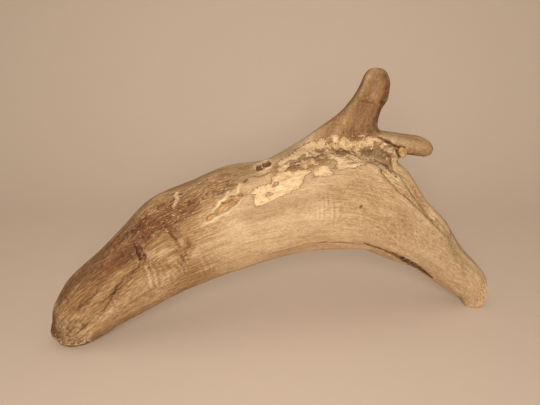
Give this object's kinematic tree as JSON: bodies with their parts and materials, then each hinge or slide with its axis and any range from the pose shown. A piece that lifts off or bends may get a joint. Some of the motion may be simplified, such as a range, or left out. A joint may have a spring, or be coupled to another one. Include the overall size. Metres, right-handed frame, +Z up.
{
  "type": "piece of driftwood",
  "caption": "Weathered piece of driftwood: a bent limb that bridges between a broad and a narrow foot, with a tall prong, a short prong and a twig stub at its crown.",
  "frame": {"origin": "on the floor, under the middle of the bounding box", "axes": "+X along the limb from the broad foot to the narrow foot, +Y towards the back, where the prongs grow, +Z up"},
  "size_m": [0.4096, 0.1036, 0.2332],
  "materials": {
    "weathered_wood": "bare, sea-worn and dry, matte"
  },
  "bodies": {
    "root": {"driftwood": "weathered_wood"}
  },
  "joints": []
}
